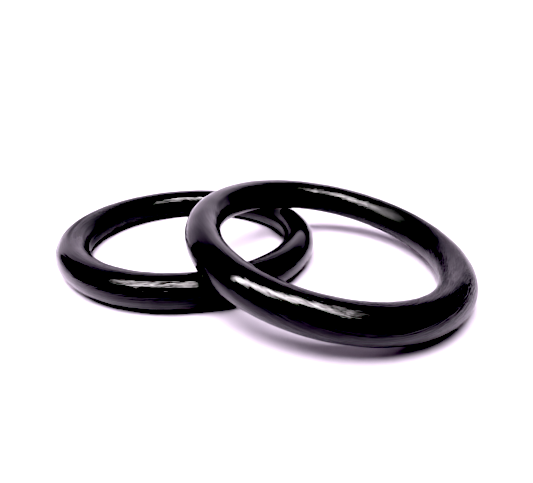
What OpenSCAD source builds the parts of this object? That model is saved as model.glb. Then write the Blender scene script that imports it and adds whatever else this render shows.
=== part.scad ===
// A pair of gymnastics rings at rest: one lies flat and the other leans on it.
// Each ring is bent from thin veneers glued face to face, rounded to a grip and lacquered.
// X runs through the centres of both rings, Z is up and the floor is at Z = 0.

/* [Ring] */
// Diameter of the hole in each ring
hole_d = 180; // [170:1:200]
// Diameter of the round grip
grip_d = 29; // [27:0.5:32]
// Thickness of the hard lacquer coat round the wood
coat_t = 0.3; // [0.2:0.05:0.5]

/* [Lamination] */
// Number of veneers bent round each ring
veneers = 14; // [12:1:18]
// Length of a veneer's scarf joint over the veneer's thickness
scarf_slope = 4; // [3:0.5:5]
// Thickness of each glue line
glue_t = 0.1; // [0.1:0.05:0.2]
// Angle from one veneer's scarf joint to the next one's
scarf_step = 100; // [80:5:140]

/* [Arrangement] */
// Distance between the centres of the two rings, seen from above
centre_gap = 137; // [130:1:150]
// Clearance where the upper ring rests on the lower one
rest_gap = 0.3; // [0.2:0.1:0.5]

/* [Hidden] */
$fn = 180;
grip_r = grip_d / 2;
core_r = hole_d / 2 + grip_r; // the circle that the grip follows
coat_inner_r = grip_r - coat_t;
hairline = 0.05; // smallest gap left between curved faces that would otherwise touch
wood_r = coat_inner_r - hairline;
veneer_pitch = (2 * wood_r + glue_t) / veneers; // a veneer and its glue line
veneer_t = veneer_pitch - glue_t;
scarf_len = 2 * scarf_slope * veneer_t; // long enough to cut right through a veneer
coat_sectors = 16; // the coat is drawn in short sectors, each close to a convex shape
coat_sector = 360 / coat_sectors;
hairline_angle = hairline / core_r * 180 / PI;
circle_step = 0.5; // degrees between the points tested for the lean
lean_max = 45;
lean_halvings = 24;

// Inner face of veneer i
function veneer_r(i) = core_r - wood_r + (i - 1) * veneer_pitch;

// A point at angle u on the upper ring's circle, seen from the lower circle's centre
function upper_point(u, lean) = [
    centre_gap + core_r * cos(u) * cos(lean),
    core_r * sin(u),
    core_r * (1 - cos(u)) * sin(lean)
];

// How far a point is from the lower ring's circle
function to_lower_circle(p) = norm([norm([p.x, p.y]) - core_r, p.z]);

// The smallest distance between the two circles
function circle_distance(lean) =
    min([for (u = [0:circle_step:180]) to_lower_circle(upper_point(u, lean))]);

// The lean at which the upper ring just rests on the lower one, found by halving
function resting_lean(low, high, turns) =
    let (middle = (low + high) / 2)
    turns == 0 ? high
    : circle_distance(middle) < grip_d + rest_gap ? resting_lean(middle, high, turns - 1)
    : resting_lean(low, middle, turns - 1);

upper_lean = resting_lean(0, lean_max, lean_halvings);
// The pair is centred on X = 0
lower_x = -(centre_gap + core_r * cos(upper_lean) - core_r) / 2;
upper_x = lower_x + centre_gap;
upper_z = grip_r + core_r * sin(upper_lean); // its lowest side touches the floor

function veneer_name(ring, i) = str(ring, "_ring_veneer_", i < 10 ? "0" : "", i);
function ring_nodes(ring) =
    concat([for (i = [1:veneers]) veneer_name(ring, i)], [str(ring, "_ring_lacquer")]);

// The place of each ring: a ring is drawn flat, centred on the origin
module lower_place() {
    translate([lower_x, 0, grip_r]) children();
}

module upper_place() {
    translate([upper_x, 0, upper_z]) rotate([0, upper_lean, 0]) children();
}

// A thin slanted cut through a veneer, where the ends of its strip are glued together
module scarf_cut(i) {
    rotate([0, 0, i * scarf_step])
        translate([veneer_r(i) + veneer_t / 2, 0, 0])
            rotate([0, 0, -atan(1 / scarf_slope)])
                cube([glue_t, 2 * scarf_len, 2 * grip_d], center = true);
}

// Veneer i, counted from the hole: a hoop whose edges are rounded with the grip
module veneer(i) {
    color("burlywood") difference() {
        rotate_extrude() intersection() {
            translate([core_r, 0]) circle(r = wood_r);
            translate([veneer_r(i), -grip_d]) square([veneer_t, 2 * grip_d]);
        }
        scarf_cut(i);
    }
}

// The coat of lacquer round the whole grip, in sectors with a hairline between them
module lacquer() {
    color("black") for (k = [1:coat_sectors])
        rotate([0, 0, (k - 0.5) * coat_sector])
            rotate_extrude(angle = coat_sector - hairline_angle)
                translate([core_r, 0]) difference() {
                    circle(r = grip_r);
                    circle(r = coat_inner_r);
                }
}

for (i = [1:veneers]) {
    lower_place() veneer(i);
    upper_place() veneer(i);
}
lower_place() lacquer();  // lower_ring_lacquer
upper_place() lacquer();  // upper_ring_lacquer
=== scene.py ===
import math

import bpy
import numpy as np
from mathutils import Matrix, Vector


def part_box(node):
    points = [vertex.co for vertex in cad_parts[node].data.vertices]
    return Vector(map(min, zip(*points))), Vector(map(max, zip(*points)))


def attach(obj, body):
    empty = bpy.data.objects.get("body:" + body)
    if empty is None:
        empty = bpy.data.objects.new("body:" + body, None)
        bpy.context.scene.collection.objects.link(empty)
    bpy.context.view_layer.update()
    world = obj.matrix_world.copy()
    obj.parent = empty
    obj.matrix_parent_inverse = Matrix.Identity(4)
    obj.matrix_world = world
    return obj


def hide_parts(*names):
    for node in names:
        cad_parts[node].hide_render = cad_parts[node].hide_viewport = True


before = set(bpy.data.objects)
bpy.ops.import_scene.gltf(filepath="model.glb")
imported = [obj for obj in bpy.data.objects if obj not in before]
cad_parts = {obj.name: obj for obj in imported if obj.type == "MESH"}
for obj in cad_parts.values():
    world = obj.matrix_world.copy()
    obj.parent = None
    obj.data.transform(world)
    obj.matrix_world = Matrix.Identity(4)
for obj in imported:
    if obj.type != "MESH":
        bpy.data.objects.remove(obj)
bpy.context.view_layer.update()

MM = 0.001

# ---------------------------------------------------------------- where the rings are
RINGS = ("lower_ring", "upper_ring")
VENEERS = 14

low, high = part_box("lower_ring_lacquer")
GRIP_R = (high.z - low.z) / 2
CORE_R = (high.x - low.x) / 2 - GRIP_R
LOWER_CENTRE = (low + high) / 2

low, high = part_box("upper_ring_lacquer")
UPPER_CENTRE = (low + high) / 2
UPPER_LEAN = math.asin((high.z - low.z - 2 * GRIP_R) / (2 * CORE_R))

PLACES = {
    "lower_ring": Matrix.Translation(LOWER_CENTRE),
    "upper_ring": Matrix.Translation(UPPER_CENTRE) @ Matrix.Rotation(UPPER_LEAN, 4, "Y"),
}

# ---------------------------------------------------------------- camera
CAMERA_AT = Vector((0.1499, -0.3205, 0.1778))
CAMERA_AZIMUTH = math.radians(-23.165)   # 0 looks along +Y
CAMERA_ELEVATION = math.radians(-23.83)
CAMERA_ROLL = math.radians(0.31)
CAMERA_LENS = 28.83
SENSOR = 36.0
NEAREST_SEEN = 10 * MM


def horizontal(azimuth):
    """The level direction at an azimuth from +Y, turning towards +X."""
    return Vector((math.sin(azimuth), math.cos(azimuth), 0))


AHEAD = horizontal(CAMERA_AZIMUTH)
RIGHT = horizontal(CAMERA_AZIMUTH + math.pi / 2)
UP = Vector((0, 0, 1))


def add_object(name, data):
    """A new object in the scene."""
    thing = bpy.data.objects.new(name, data)
    bpy.context.scene.collection.objects.link(thing)
    return thing


def smooth_mesh(name, points, faces):
    mesh = bpy.data.meshes.new(name)
    mesh.from_pydata(points, [], faces)
    mesh.polygons.foreach_set("use_smooth", [True] * len(mesh.polygons))
    return mesh


def make_camera():
    """The camera at the photograph's viewing angle."""
    data = bpy.data.cameras.new("camera")
    data.lens = CAMERA_LENS
    data.sensor_width = SENSOR
    data.clip_start = NEAREST_SEEN
    camera = add_object("camera", data)
    look = AHEAD * math.cos(CAMERA_ELEVATION) + UP * math.sin(CAMERA_ELEVATION)
    turn = look.to_track_quat("-Z", "Y").to_matrix().to_4x4()
    roll = Matrix.Rotation(CAMERA_ROLL, 4, "Z")
    camera.matrix_world = Matrix.Translation(CAMERA_AT) @ turn @ roll
    bpy.context.scene.camera = camera


# ---------------------------------------------------------------- node helpers
class Nodes:
    """A material's node tree, with short ways to add and join nodes."""

    def __init__(self, name):
        self.material = bpy.data.materials.new(name)
        self.material.use_nodes = True
        self.tree = self.material.node_tree
        self.tree.nodes.clear()

    def add(self, kind, **settings):
        node = self.tree.nodes.new(kind)
        for key, value in settings.items():
            setattr(node, key, value)
        return node

    def link(self, source, target):
        self.tree.links.new(source, target)

    def math(self, operation, first, second=None, clamp=False):
        node = self.add("ShaderNodeMath", operation=operation, use_clamp=clamp)
        for socket, value in zip(node.inputs, (first, second)):
            if value is None:
                continue
            if isinstance(value, (int, float)):
                socket.default_value = value
            else:
                self.link(value, socket)
        return node.outputs[0]

    def attribute(self, name, output):
        return self.add("ShaderNodeAttribute", attribute_name=name).outputs[output]

    def mapped(self, value, low, high, to_low=0.0, to_high=1.0):
        """A smooth step from one number to another as the value goes from low to high."""
        node = self.add("ShaderNodeMapRange", interpolation_type="SMOOTHSTEP")
        node.inputs["From Min"].default_value = low
        node.inputs["From Max"].default_value = high
        node.inputs["To Min"].default_value = to_low
        node.inputs["To Max"].default_value = to_high
        self.link(value, node.inputs["Value"])
        return node.outputs["Result"]

    def mix(self, factor, first, second):
        """The first number where the factor is 0, the second where it is 1."""
        before = self.math("MULTIPLY", self.math("SUBTRACT", 1.0, factor), first)
        return self.math("ADD", before, self.math("MULTIPLY", factor, second))

    def noise(self, place, turn, scale, detail=3.0, roughness=0.5):
        """Noise over a ring; place and turn are four coordinates that close on themselves."""
        node = self.add("ShaderNodeTexNoise", noise_dimensions="4D")
        node.inputs["Scale"].default_value = scale
        node.inputs["Detail"].default_value = detail
        node.inputs["Roughness"].default_value = roughness
        self.link(place, node.inputs["Vector"])
        self.link(turn, node.inputs["W"])
        return node.outputs["Fac"]

    def ramp(self, factor, start, end, first, second):
        """A colour that goes from the first to the second as the factor goes from start to end."""
        node = self.add("ShaderNodeValToRGB")
        stops = node.color_ramp.elements
        stops[0].position, stops[0].color = start, first
        stops[1].position, stops[1].color = end, second
        self.link(factor, node.inputs["Fac"])
        return node.outputs["Color"]

    def bump(self, height, distance):
        """A normal that leans as a height counted in this distance does."""
        node = self.add("ShaderNodeBump")
        node.inputs["Distance"].default_value = distance
        self.link(height, node.inputs["Height"])
        return node.outputs["Normal"]

    def finished(self, shader):
        """The material, with this shader for its surface."""
        out = self.add("ShaderNodeOutputMaterial")
        self.link(shader.outputs["BSDF"], out.inputs["Surface"])
        return self.material


# ---------------------------------------------------------------- the lacquered surface
ROUND_STEPS = 470        # faces along the ring
GRIP_STEPS = 200         # faces round the grip
VENEER_PITCH = 2.03 * MM
VENEER_CROWN = 0.010 * MM
STREAK_LENGTH = 22 * MM  # a brush or grain line, as the material draws it
STREAK_WIDTH = 0.70 * MM
STREAK_HEIGHT = 0.21 * MM

# The grain drifts round the grip: by how much, in radians, how many times in a turn, and from where.
GRAIN_DRIFT = {"lower_ring": (0.25, 2, 0.4), "upper_ring": (0.64, 3, 4.97)}

# Relief in the mesh: how steep it is, how many waves make it up, and how many times a wave rises and
# falls along the ring (turns) and round the grip (twists), from the first number up to the second.
SANDING = {"slope": 0.008, "count": 40, "turns": (8, 36), "twists": (-3, 4)}
RIDGES = {"slope": 0.035, "count": 160, "turns": (-13, 14), "twists": (26, 58)}

# Stretches of a ring: where their middle is along it, and how far they reach each way, in radians.
DULLED = {"lower_ring": (3.6, 0.4), "upper_ring": (1.12, 0.33)}     # by handling
COMBED = {"lower_ring": (3.2, 0.55), "upper_ring": (-0.15, 0.60)}   # where the grain stands out

# How fine the noises are: 1 is one streak, and less is broader.
STREAK_SCALE = 1.0
HAIR_SCALE = 2.1
STRENGTH_SCALE = 0.10
TONE_SCALE = 0.12

# The part of a noise's values over which each of these goes from one end to the other.
STRENGTH_RANGE = (0.38, 0.62)
COLOUR_RANGE = (0.35, 0.7)
ROUGHNESS_RANGE = (0.35, 0.65)
DULLED_RANGE = (0.35, 0.6)

# Heights count in STREAK_HEIGHT.
STREAK_STRENGTH = (0.55, 1.15)   # where the streaks are faint and where they are strong
COMBED_STRENGTH = 0.9            # more of it where combed
HAIR_SHARE = 0.4
COMBED_HAIR_SHARE = 0.5          # more of them where combed
GLUE_DEPTH = 0.05
GLUE_REACH = 0.12                # half the width of a glue line, in veneers

LACQUER_DARK = (0.0035, 0.0028, 0.0042, 1)
LACQUER_PALE = (0.0085, 0.0065, 0.0095, 1)
ROUGHNESS = (0.075, 0.125)
DULLED_ROUGHNESS = (0.16, 0.46)  # more of it where dulled
COMBED_ROUGHNESS = 0.10          # more of it where combed
LACQUER_IOR = 1.47


def waves(along, around, seed, slope, count, turns, twists):
    """A sum of waves that close on themselves along the ring and round the grip."""
    random = np.random.default_rng(seed)
    height = np.zeros(along.shape)
    for _ in range(count):
        turn = int(random.integers(*turns))
        twist = int(random.integers(*twists))
        steepness = math.hypot(turn / CORE_R, twist / GRIP_R)
        height += np.cos(turn * along + twist * around + random.uniform(0, 2 * math.pi)) / steepness
    return slope * (height / math.sqrt(count / 2))


def veneers_out(around):
    """How many veneers lie between the middle of the grip and a point of its surface."""
    return GRIP_R * np.cos(around) / VENEER_PITCH


def veneer_crowns(around):
    """Each veneer stands a hair proud between its glue lines."""
    return VENEER_CROWN * np.abs(np.sin(math.pi * veneers_out(around))) ** 0.5


def ring_points(ring, along, around, out):
    """Points of the ring's surface at a distance out from the middle of the grip."""
    reach = CORE_R + out * np.cos(around)
    points = np.stack([reach * np.cos(along), reach * np.sin(along), out * np.sin(around)], -1)
    turn = np.array(PLACES[ring].to_3x3())
    return points.reshape(-1, 3) @ turn.T + np.array(PLACES[ring].translation)


def stretch(along, middle, reach):
    """1 in the middle of a stretch of the ring, about a third at its ends, and 0 well past them."""
    away = np.angle(np.exp(1j * (along - middle)))
    return np.exp(-(away / reach) ** 2)


def ring_faces():
    """A quad for each step along the ring and round the grip, closed both ways."""
    index = np.arange(ROUND_STEPS * GRIP_STEPS).reshape(ROUND_STEPS, GRIP_STEPS)
    ahead = np.roll(index, -1, 0)
    return np.stack([index, ahead, np.roll(ahead, -1, 1), np.roll(index, -1, 1)], -1).reshape(-1, 4)


def add_field(mesh, name, kind, key, values):
    """Values for the material to read, one for each point of the mesh."""
    attribute = mesh.attributes.new(name, kind, "POINT")
    attribute.data.foreach_set(key, np.ascontiguousarray(values, np.float32).ravel())


def add_fields(mesh, ring, along, around, grain):
    """The grain's coordinates in streaks, which close on themselves, and where the ring is worn."""
    length, width = CORE_R / STREAK_LENGTH, GRIP_R / STREAK_WIDTH
    place = np.stack([np.cos(along) * length, np.sin(along) * length, np.cos(grain) * width], -1)
    add_field(mesh, "grain", "FLOAT_VECTOR", "vector", place)
    add_field(mesh, "grain_turn", "FLOAT", "value", np.sin(grain) * width)
    add_field(mesh, "veneer", "FLOAT", "value", veneers_out(around))
    add_field(mesh, "dulled", "FLOAT", "value", stretch(along, *DULLED[ring]))
    add_field(mesh, "combed", "FLOAT", "value", stretch(along, *COMBED[ring]))


def ring_skin(ring, seed):
    """The whole surface of one ring, as one closed mesh."""
    along, around = np.meshgrid(
        np.arange(ROUND_STEPS) * 2 * math.pi / ROUND_STEPS,
        np.arange(GRIP_STEPS) * 2 * math.pi / GRIP_STEPS,
        indexing="ij",
    )
    drift, times, start = GRAIN_DRIFT[ring]
    grain = around + drift * np.sin(times * along + start)
    hollows = waves(along, around, seed, **SANDING)
    ridges = waves(along, grain, seed, **RIDGES)
    relief = hollows + ridges + veneer_crowns(around)
    points = ring_points(ring, along, around, GRIP_R + relief - relief.max())
    mesh = smooth_mesh(ring + "_skin", points.tolist(), ring_faces().tolist())
    add_fields(mesh, ring, along, around, grain)
    return add_object(ring + "_skin", mesh)


def grain_height(n):
    """Brush and grain lines: fine streaks, stronger in some places, most of all where combed."""
    place = n.attribute("grain", "Vector")
    turn = n.attribute("grain_turn", "Fac")
    combed = n.attribute("combed", "Fac")
    streaks = n.noise(place, turn, STREAK_SCALE, detail=2.0, roughness=0.6)
    hairs = n.noise(place, turn, HAIR_SCALE, detail=1.0)
    patches = n.noise(place, turn, STRENGTH_SCALE, detail=1.0)
    strength = n.mapped(patches, *STRENGTH_RANGE, *STREAK_STRENGTH)
    strength = n.math("ADD", strength, n.math("MULTIPLY", combed, COMBED_STRENGTH))
    share = n.math("ADD", HAIR_SHARE, n.math("MULTIPLY", combed, COMBED_HAIR_SHARE))
    lines = n.math("ADD", streaks, n.math("MULTIPLY", hairs, share))
    return n.math("MULTIPLY", lines, strength)


def lacquer_material():
    """Black lacquer brushed over laminated wood, with faint glue lines."""
    n = Nodes("black_lacquer")
    tone = n.noise(n.attribute("grain", "Vector"), n.attribute("grain_turn", "Fac"), TONE_SCALE, detail=2.0)
    from_glue = n.math("PINGPONG", n.attribute("veneer", "Fac"), 0.5)
    glue = n.math("MULTIPLY", n.mapped(from_glue, 0.0, GLUE_REACH), GLUE_DEPTH)
    patchy = n.mapped(tone, *DULLED_RANGE, *DULLED_ROUGHNESS)
    dulled = n.math("MULTIPLY", n.attribute("dulled", "Fac"), patchy)
    combed = n.math("MULTIPLY", n.attribute("combed", "Fac"), COMBED_ROUGHNESS)
    worn = n.math("ADD", dulled, combed)
    rough = n.math("ADD", n.mapped(tone, *ROUGHNESS_RANGE, *ROUGHNESS), worn)

    shader = n.add("ShaderNodeBsdfPrincipled")
    n.link(n.ramp(tone, *COLOUR_RANGE, LACQUER_DARK, LACQUER_PALE), shader.inputs["Base Color"])
    n.link(rough, shader.inputs["Roughness"])
    shader.inputs["IOR"].default_value = LACQUER_IOR
    n.link(n.bump(n.math("ADD", grain_height(n), glue), STREAK_HEIGHT), shader.inputs["Normal"])
    return n.finished(shader)


# ---------------------------------------------------------------- the wood inside
FIBRES = 2600            # a metre
FIBRE_SHARE = 0.6        # of the colour; the broad tone has the rest
FIBRE_HEIGHT = 0.05 * MM
WOOD_TONES = 60          # a metre
BEECH_RANGE = (0.35, 0.65)  # of the mixed noise, from dark to pale
BEECH_DARK = (0.42, 0.25, 0.13, 1)
BEECH_PALE = (0.68, 0.48, 0.29, 1)
BEECH_ROUGHNESS = 0.55


def wood_material():
    """Pale beech for the hidden veneers, with fibres in shells round the middle of the pair."""
    n = Nodes("beech_veneer")
    place = n.add("ShaderNodeTexCoord").outputs["Object"]
    reach = n.add("ShaderNodeVectorMath", operation="LENGTH")
    n.link(place, reach.inputs[0])
    fibres = n.add("ShaderNodeTexNoise", noise_dimensions="1D")
    fibres.inputs["Scale"].default_value = 1.0
    fibres.inputs["Detail"].default_value = 5.0
    n.link(n.math("MULTIPLY", reach.outputs["Value"], FIBRES), fibres.inputs["W"])
    tone = n.add("ShaderNodeTexNoise")
    tone.inputs["Scale"].default_value = WOOD_TONES
    n.link(place, tone.inputs["Vector"])
    fine = n.math("MULTIPLY", fibres.outputs["Fac"], FIBRE_SHARE)
    shade = n.math("ADD", fine, n.math("MULTIPLY", tone.outputs["Fac"], 1 - FIBRE_SHARE))
    shader = n.add("ShaderNodeBsdfPrincipled")
    n.link(n.ramp(shade, *BEECH_RANGE, BEECH_DARK, BEECH_PALE), shader.inputs["Base Color"])
    shader.inputs["Roughness"].default_value = BEECH_ROUGHNESS
    n.link(n.bump(fibres.outputs["Fac"], FIBRE_HEIGHT), shader.inputs["Normal"])
    return n.finished(shader)


def finish_veneers():
    """The CAD veneers stay as they are inside the lacquer, in beech."""
    material = wood_material()
    for ring in RINGS:
        for number in range(1, VENEERS + 1):
            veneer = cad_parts[f"{ring}_veneer_{number:02d}"]
            for slot in veneer.material_slots:
                slot.material = material


def make_rings():
    """A detailed skin in place of each ring's CAD coat."""
    material = lacquer_material()
    for seed, ring in enumerate(RINGS, start=3):
        skin = ring_skin(ring, seed)
        skin.data.materials.append(material)
        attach(skin, ring)
        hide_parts(ring + "_lacquer")


# ---------------------------------------------------------------- stage
STAGE_RADIUS = 1.7
STAGE_BEND = 0.5         # radius of the curve from floor to wall
STAGE_HEIGHT = 2.0
STAGE_STEPS = 180        # faces round the stage
BEND_STEPS = 12          # faces up the curve
MIRRORED_FLOOR = 0.5     # the rings mirror the paper this far out on every side
FLOOR_ROWS = (0.0, 0.25, MIRRORED_FLOOR, 0.8)
MIRRORED_WALL = (math.radians(-84), math.radians(24))  # and all of it between these azimuths
LOW_WALL_HEIGHT = 0.7
LOW_WALL_END = math.radians(33)  # the second azimuth below that height

# The paper glows by itself away from the rings, so that it stays white there.
# The glow is painted light on the floor and wall, brighter at the left, and the lacquer mirrors it as
# sheens.
PAPER = (0.80, 0.76, 0.81, 1)
PAPER_ROUGHNESS = 0.9
GLOW_COLOUR = (1.0, 0.88, 1.03, 1)
FLOOR_GLOW = 1.15
FLOOR_COMES_UP = (0.18, 0.55)    # between these distances from the middle
FLOOR_GOES_DOWN = (0.9, 1.5)     # and again between these
FAR_GLOW = 0.55                  # of the floor's, at the foot of the wall
WALL_GLOW = (1.12, 1.65)         # at the left and at its brightest
WALL_RISES = (-1.2, -0.35)       # between these X
WALL_FALLS = (-0.1, 0.2)         # and again between these
WALL_RIGHT = 0.45                # of its brightest, at the right
WALL_TAKES_OVER = (0.0, 0.5)     # between these heights


def paper_material():
    """White paper with painted light: it glows, but not where the rings stand, so that it keeps their
    shadow.
    """
    n = Nodes("glowing_paper")
    position = n.add("ShaderNodeNewGeometry").outputs["Position"]
    length = n.add("ShaderNodeVectorMath", operation="LENGTH")
    n.link(position, length.inputs[0])
    reach = length.outputs["Value"]
    place = n.add("ShaderNodeSeparateXYZ")
    n.link(position, place.inputs[0])
    near = n.mapped(reach, *FLOOR_COMES_UP, 0.0, FLOOR_GLOW)
    floor = n.math("MULTIPLY", near, n.mapped(reach, *FLOOR_GOES_DOWN, 1.0, FAR_GLOW))
    left = n.mapped(place.outputs["X"], *WALL_RISES, *WALL_GLOW)
    wall = n.math("MULTIPLY", left, n.mapped(place.outputs["X"], *WALL_FALLS, 1.0, WALL_RIGHT))
    up = n.mapped(place.outputs["Z"], *WALL_TAKES_OVER)
    shader = n.add("ShaderNodeBsdfPrincipled")
    shader.inputs["Base Color"].default_value = PAPER
    shader.inputs["Roughness"].default_value = PAPER_ROUGHNESS
    shader.inputs["Specular IOR Level"].default_value = 0.0
    shader.inputs["Emission Color"].default_value = GLOW_COLOUR
    n.link(n.mix(up, floor, wall), shader.inputs["Emission Strength"])
    return n.finished(shader)


def stage_profile():
    """Distance out and height of the paper, from the middle of the floor to the top of the wall."""
    flat = STAGE_RADIUS - STAGE_BEND
    profile = [(reach, 0.0) for reach in (*FLOOR_ROWS, flat)]
    for k in range(1, BEND_STEPS + 1):
        angle = k / BEND_STEPS * math.pi / 2
        profile.append((flat + STAGE_BEND * math.sin(angle), STAGE_BEND - STAGE_BEND * math.cos(angle)))
    profile += [(STAGE_RADIUS, LOW_WALL_HEIGHT), (STAGE_RADIUS, STAGE_HEIGHT)]
    return profile


def is_mirrored(reach, z, azimuth):
    """Whether the rings mirror this part of the paper; beside and behind the camera they don't."""
    first, last = MIRRORED_WALL
    if z < LOW_WALL_HEIGHT:
        last = LOW_WALL_END
    return reach < MIRRORED_FLOOR or first < azimuth < last


def stage_piece(name, mirrored, material):
    """The part of the round sheet of paper that the rings mirror, or the rest of it."""
    rows = stage_profile()
    points, faces = [], []
    for reach, z in rows:
        for k in range(STAGE_STEPS):
            points.append(tuple(horizontal(2 * math.pi * k / STAGE_STEPS) * reach + UP * z))
    for row in range(len(rows) - 1):
        for k in range(STAGE_STEPS):
            after = (k + 1) % STAGE_STEPS
            azimuth = math.remainder(2 * math.pi * (k + 0.5) / STAGE_STEPS, 2 * math.pi)
            if is_mirrored(*rows[row], azimuth) != mirrored:
                continue
            a, b = row * STAGE_STEPS, (row + 1) * STAGE_STEPS
            faces.append((a + k, a + after, b + after, b + k))
    piece = add_object(name, smooth_mesh(name, points, faces))
    piece.data.materials.append(material)
    return piece


def make_stage():
    """A round sheet of paper that curves up into a wall; part of it lights nothing, as if far away."""
    material = paper_material()
    stage_piece("paper", True, material)
    rest = stage_piece("paper_behind_camera", False, material)
    rest.visible_glossy = False
    rest.visible_diffuse = False


# ---------------------------------------------------------------- lights
# The softbox is what the lacquer mirrors, and the lamp is what it sheds on the paper. The lamp is
# wider, because the white room round the softbox softens the shadow.
SOFTBOX_AT = Vector((-0.035, -0.345, 0.8))
SOFTBOX_SIZE = (1.22, 0.16)
SOFTBOX_GLOW = 50
SOFTBOX_COLOUR = (1.0, 0.93, 0.98)
LAMP_AT = Vector((-0.10, -0.32, 0.78))
LAMP_SIZE = (1.10, 0.66)
LAMP_GLOW = 12.3
LAMP_COLOUR = (1.0, 0.91, 1.03)
FILL_AT = UP * 2.6
FILL_SIZE = (3.4, 3.4)
FILL_GLOW = 0.38
FILL_COLOUR = (1.0, 0.89, 1.04)
ROOM = (0.02, 0.02, 0.022, 1)


def area_light(name, at, size, glow, colour):
    """A rectangular lamp that points down, with its long side across the view."""
    data = bpy.data.lights.new(name, "AREA")
    data.shape = "RECTANGLE"
    data.size, data.size_y = size
    data.energy = glow * math.pi * size[0] * size[1]
    data.color = colour
    light = add_object(name, data)
    turn = Matrix((RIGHT, AHEAD, UP)).transposed().to_4x4()
    light.matrix_world = Matrix.Translation(at) @ turn
    return light


def make_lights():
    """A softbox seen only in the lacquer, two lamps that only shed light, and a dark room."""
    softbox = area_light("softbox", SOFTBOX_AT, SOFTBOX_SIZE, SOFTBOX_GLOW, SOFTBOX_COLOUR)
    softbox.visible_diffuse = False
    lamp = area_light("lamp", LAMP_AT, LAMP_SIZE, LAMP_GLOW, LAMP_COLOUR)
    lamp.visible_glossy = False
    fill = area_light("fill", FILL_AT, FILL_SIZE, FILL_GLOW, FILL_COLOUR)
    fill.visible_glossy = False
    world = bpy.data.worlds.new("dark_room")
    bpy.context.scene.world = world
    world.use_nodes = True
    world.node_tree.nodes["Background"].inputs["Color"].default_value = ROOM


# ---------------------------------------------------------------- look
BLACK_LEVEL = (0.106, 0.0925, 0.108)


def set_look():
    """The high contrast of a product shot: dark tones fall to black, with a trace of purple."""
    view = bpy.context.scene.view_settings
    view.view_transform = "Standard"
    view.use_curve_mapping = True
    view.curve_mapping.black_level = BLACK_LEVEL
    view.curve_mapping.update()


make_camera()
make_rings()
finish_veneers()
make_stage()
make_lights()
set_look()
